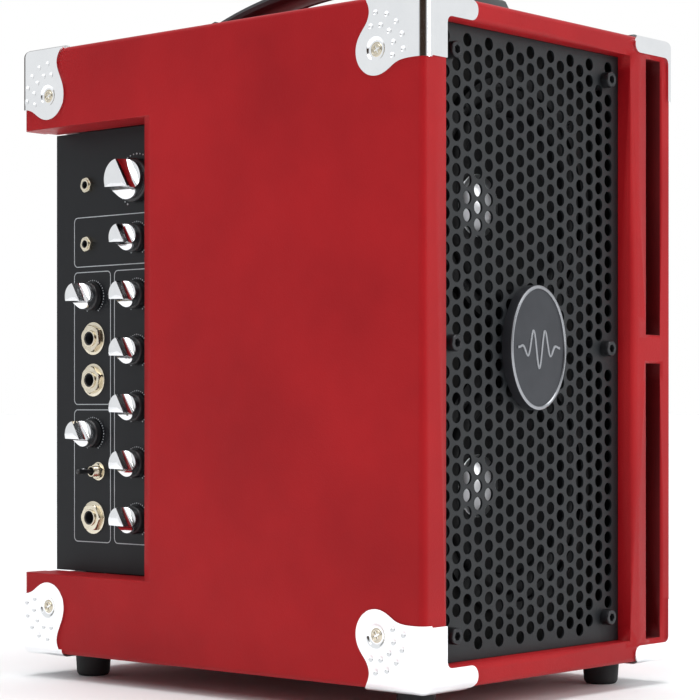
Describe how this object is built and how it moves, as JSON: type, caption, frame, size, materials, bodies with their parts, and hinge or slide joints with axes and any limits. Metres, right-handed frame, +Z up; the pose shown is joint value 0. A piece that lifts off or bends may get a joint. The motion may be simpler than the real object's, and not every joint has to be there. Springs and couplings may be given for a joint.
{
  "type": "guitar amplifier",
  "caption": "Small portrait combo amplifier: leatherette-covered cabinet with a perforated grille over stacked woofers, slot ports, chrome corner guards and a recessed side control panel.",
  "frame": {"origin": "middle of the floor area under the rubber feet", "axes": "+Z up, -Y is the front with the grille, -X is the side with the control panel"},
  "size_m": [0.2184, 0.2974, 0.3915],
  "materials": {
    "leatherette": "textured vinyl leatherette, semi-matt red",
    "board_wood": "raw plywood, black stained inside",
    "chrome_guard": "polished chrome plate",
    "foot_rubber": "matt black rubber",
    "zinc_screw": "zinc plated",
    "handle_vinyl": "grained black moulded strap",
    "handle_plastic": "satin black moulding",
    "black_screw": "black oxide",
    "grille_coat": "satin charcoal powder coat",
    "spacer_plastic": "black nylon",
    "badge_coat": "satin charcoal with a brighter rim",
    "basket_coat": "black coated casting",
    "cone_paper": "black coated paper",
    "dome_alloy": "brushed aluminium",
    "surround_rubber": "black butyl rubber",
    "spider_cloth": "resin treated cloth",
    "ferrite": "ground ferrite",
    "plated_steel": "zinc plated steel",
    "panel_coat": "satin black powder coat",
    "tray_steel": "galvanised sheet",
    "circuit_board": "green solder mask",
    "transformer_steel": "varnished laminations",
    "control_case": "nickel plated",
    "clear_lens": "clear polished",
    "black_plastic": "moulded, satin",
    "lever_plastic": "dark polished",
    "knob_chrome": "chrome cap on a black skirt"
  },
  "bodies": {
    "cabinet": {"bay_end_walls": "board_wood", "bay_front_wall": "board_wood", "bay_inner_wall": "board_wood", "bottom_board": "board_wood", "chassis_tray": "tray_steel", "clip_lamp": "clear_lens", "control_board": "circuit_board", "control_panel": "panel_coat", "corner_screws": "chrome_guard", "foot_screws": "zinc_screw", "front_baffle": "board_wood", "front_corner_guards": "chrome_guard", "grille": "grille_coat", "grille_badge": "badge_coat", "grille_screws": "black_screw", "grille_spacers": "spacer_plastic", "handle_brackets": "handle_plastic", "handle_screws": "black_screw", "handle_strap": "handle_vinyl", "left_side_board": "board_wood", "mains_inlet": "black_plastic", "mini_jacks": "control_case", "port_bridge": "board_wood", "port_wall": "board_wood", "potentiometers": "control_case", "power_board": "circuit_board", "quarter_inch_jacks": "control_case", "rear_board": "board_wood", "rear_corner_guards": "chrome_guard", "rear_plate": "panel_coat", "rear_screws": "black_screw", "right_side_board": "board_wood", "rocker_frame": "spacer_plastic", "rubber_feet": "foot_rubber", "toggle_switch": "control_case", "top_board": "board_wood", "transformer": "transformer_steel", "vinyl_cover": "leatherette", "woofer_baskets": "basket_coat", "woofer_front_plates": "plated_steel", "woofer_magnets": "ferrite", "woofer_screws": "black_screw", "woofer_spiders": "spider_cloth", "woofer_surrounds": "surround_rubber", "woofer_yokes": "plated_steel"},
    "volume_control": {"volume_knob": "knob_chrome"},
    "aux_control": {"aux_knob": "knob_chrome"},
    "treble_control": {"treble_knob": "knob_chrome"},
    "high_mid_control": {"high_mid_knob": "knob_chrome"},
    "middle_control": {"middle_knob": "knob_chrome"},
    "low_mid_control": {"low_mid_knob": "knob_chrome"},
    "bass_control": {"bass_knob": "knob_chrome"},
    "input_one_control": {"input_one_knob": "knob_chrome"},
    "input_two_control": {"input_two_knob": "knob_chrome"},
    "toggle": {"toggle_lever": "lever_plastic"},
    "rocker": {"power_rocker": "black_plastic"},
    "lower_driver": {"lower_cone": "cone_paper", "lower_dust_cap": "dome_alloy"},
    "upper_driver": {"upper_cone": "cone_paper", "upper_dust_cap": "dome_alloy"}
  },
  "joints": [
    {"name": "volume_turn", "type": "hinge", "parent": "cabinet", "child": "volume_control", "pos_m": [-0.085, 0.0781, 0.2787], "axis": [1, 0, 0], "range_deg": [0, 300]},
    {"name": "aux_turn", "type": "hinge", "parent": "cabinet", "child": "aux_control", "pos_m": [-0.085, 0.0781, 0.2466], "axis": [1, 0, 0], "range_deg": [0, 300]},
    {"name": "treble_turn", "type": "hinge", "parent": "cabinet", "child": "treble_control", "pos_m": [-0.085, 0.0781, 0.2151], "axis": [1, 0, 0], "range_deg": [0, 300]},
    {"name": "high_mid_turn", "type": "hinge", "parent": "cabinet", "child": "high_mid_control", "pos_m": [-0.085, 0.0781, 0.1838], "axis": [1, 0, 0], "range_deg": [0, 300]},
    {"name": "middle_turn", "type": "hinge", "parent": "cabinet", "child": "middle_control", "pos_m": [-0.085, 0.0781, 0.1525], "axis": [1, 0, 0], "range_deg": [0, 300]},
    {"name": "low_mid_turn", "type": "hinge", "parent": "cabinet", "child": "low_mid_control", "pos_m": [-0.085, 0.0781, 0.1212], "axis": [1, 0, 0], "range_deg": [0, 300]},
    {"name": "bass_turn", "type": "hinge", "parent": "cabinet", "child": "bass_control", "pos_m": [-0.085, 0.0781, 0.0899], "axis": [1, 0, 0], "range_deg": [0, 300]},
    {"name": "input_one_turn", "type": "hinge", "parent": "cabinet", "child": "input_one_control", "pos_m": [-0.085, 0.1145, 0.1375], "axis": [1, 0, 0], "range_deg": [0, 300]},
    {"name": "input_two_turn", "type": "hinge", "parent": "cabinet", "child": "input_two_control", "pos_m": [-0.085, 0.1145, 0.2152], "axis": [1, 0, 0], "range_deg": [0, 300]},
    {"name": "toggle_tilt", "type": "hinge", "parent": "cabinet", "child": "toggle", "pos_m": [-0.088, 0.1094, 0.1163], "axis": [0, 0, 1], "range_deg": [-12, 12]},
    {"name": "power_rock", "type": "hinge", "parent": "cabinet", "child": "rocker", "pos_m": [-0.057, 0.146, 0.1527], "axis": [0, 0, 1], "range_deg": [-12, 12]},
    {"name": "lower_cone_travel", "type": "slide", "parent": "cabinet", "child": "lower_driver", "axis": [0, 1, 0], "range_m": [-0.003, 0.003], "stiffness_N_per_m": 800},
    {"name": "upper_cone_travel", "type": "slide", "parent": "cabinet", "child": "upper_driver", "axis": [0, 1, 0], "range_m": [-0.003, 0.003], "stiffness_N_per_m": 800}
  ]
}
